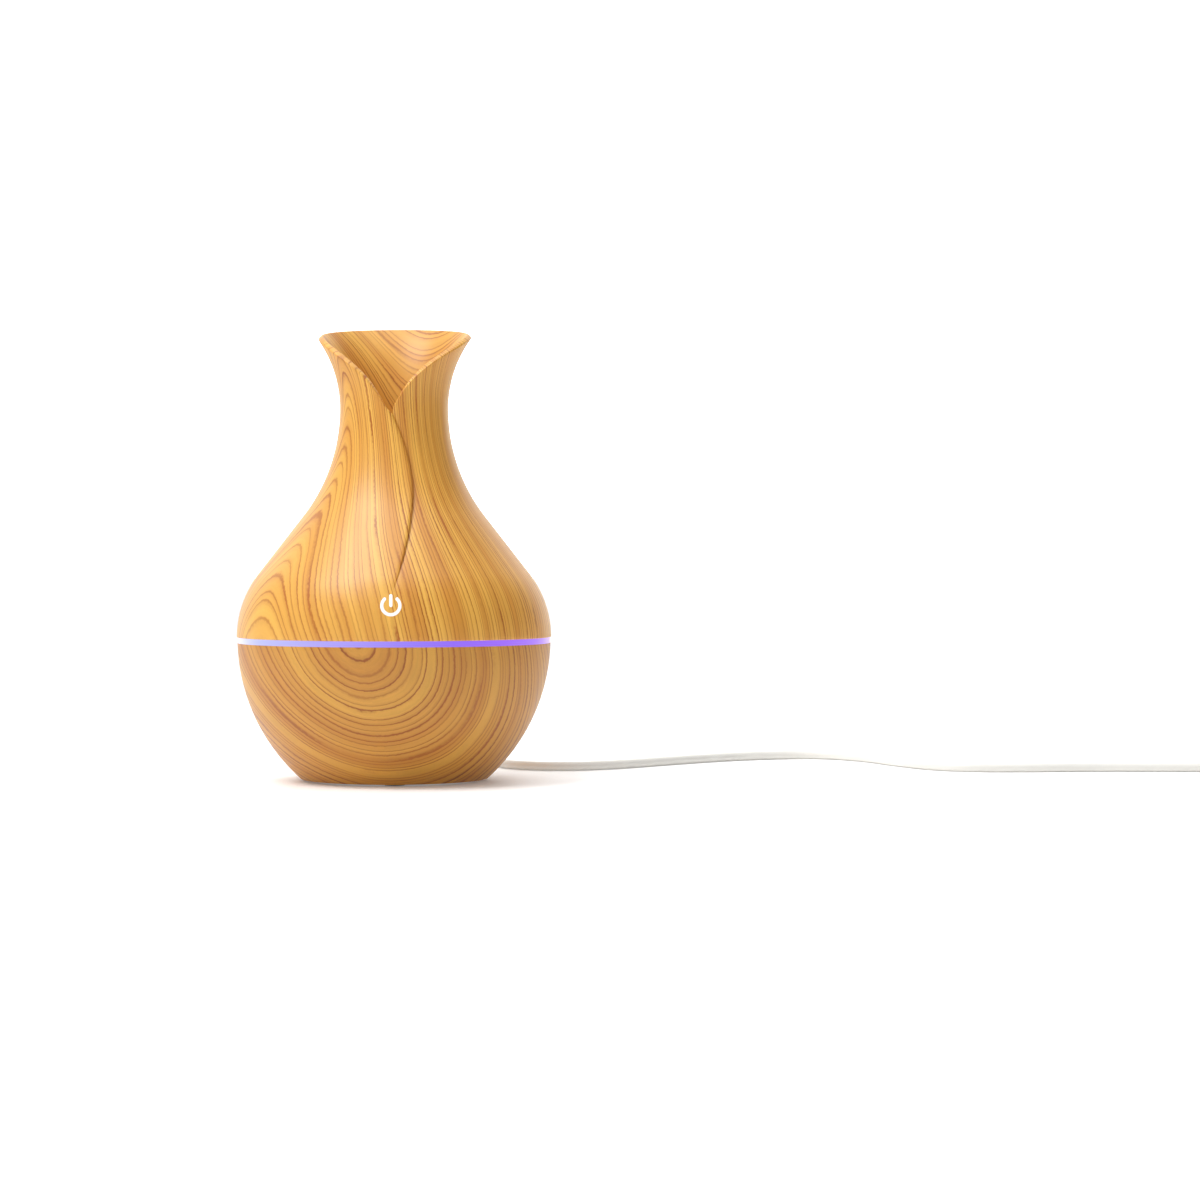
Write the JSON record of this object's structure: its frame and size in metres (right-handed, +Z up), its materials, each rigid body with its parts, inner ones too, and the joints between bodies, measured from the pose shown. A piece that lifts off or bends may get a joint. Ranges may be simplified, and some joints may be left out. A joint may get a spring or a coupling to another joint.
{
  "type": "essential oil diffuser",
  "caption": "Ultrasonic aroma diffuser shaped like a budding wooden vase, with a lift-off cover, glowing ring, water tank, fan and USB lead.",
  "frame": {"origin": "on the table, at the centre of the round base", "axes": "+Z up along the vase's axis, -Y towards the front with the power symbol and the notch, +Y towards the power socket"},
  "size_m": [0.3763, 0.1585, 0.1453],
  "materials": {
    "wood_print": "honey wood grain printed on moulded ABS, satin lacquer",
    "white_plastic": "moulded white polypropylene",
    "light_diffuser": "milky translucent, lit violet from inside",
    "symbol_ink": "white print",
    "foot_rubber": "matte",
    "silicone": "soft matte silicone",
    "steel": "nickel plated",
    "circuit_board": "green solder mask",
    "black_plastic": "moulded black",
    "copper": "enamelled copper",
    "magnet": "ferrite",
    "disc_nickel": "plated ceramic disc",
    "capacitor_can": "shrink sleeve",
    "led_lens": "clear lens",
    "wire_cover": "PVC insulation",
    "cord_cover": "soft white PVC"
  },
  "bodies": {
    "base": {"lower_shell": "wood_print", "base_plate": "white_plastic", "foot_1": "foot_rubber", "foot_2": "foot_rubber", "foot_3": "foot_rubber", "foot_4": "foot_rubber", "base_screws": "steel", "light_ring": "light_diffuser", "led_board": "circuit_board", "leds": "led_lens", "water_tank": "white_plastic", "touch_pad": "copper", "transducer_disc": "disc_nickel", "transducer_seal": "silicone", "transducer_retainer": "white_plastic", "retainer_screws": "steel", "fan_housing": "black_plastic", "fan_stator": "copper", "fan_screws": "steel", "air_duct": "white_plastic", "main_board": "circuit_board", "board_screws": "steel", "power_jack": "black_plastic", "jack_pin": "steel", "capacitor": "capacitor_can", "inductor": "copper", "control_chip": "black_plastic", "board_connector": "white_plastic", "transducer_leads": "wire_cover", "fan_leads": "wire_cover"},
    "cover": {"vase_cover": "wood_print", "mist_chimney": "white_plastic", "power_symbol": "symbol_ink"},
    "fan_rotor": {"fan_impeller": "black_plastic", "fan_magnet": "magnet", "fan_shaft": "steel"},
    "lead": {"dc_barrel": "steel", "dc_insulator": "black_plastic", "dc_plug": "white_plastic", "power_cord": "cord_cover", "cord_coil": "cord_cover", "cord_tail": "cord_cover", "usb_body": "white_plastic", "usb_shell": "steel", "usb_tongue": "black_plastic"}
  },
  "joints": [
    {"name": "cover_lift", "type": "slide", "parent": "base", "child": "cover", "axis": [0, 0, 1], "range_m": [0, 0.075]},
    {"name": "fan_spin", "type": "hinge", "parent": "base", "child": "fan_rotor", "pos_m": [0, -0.01, 0.008], "axis": [0, 0, 1], "continuous": true},
    {"name": "plug_pull", "type": "slide", "parent": "base", "child": "lead", "axis": [0, 1, 0], "range_m": [0, 0.014]}
  ]
}
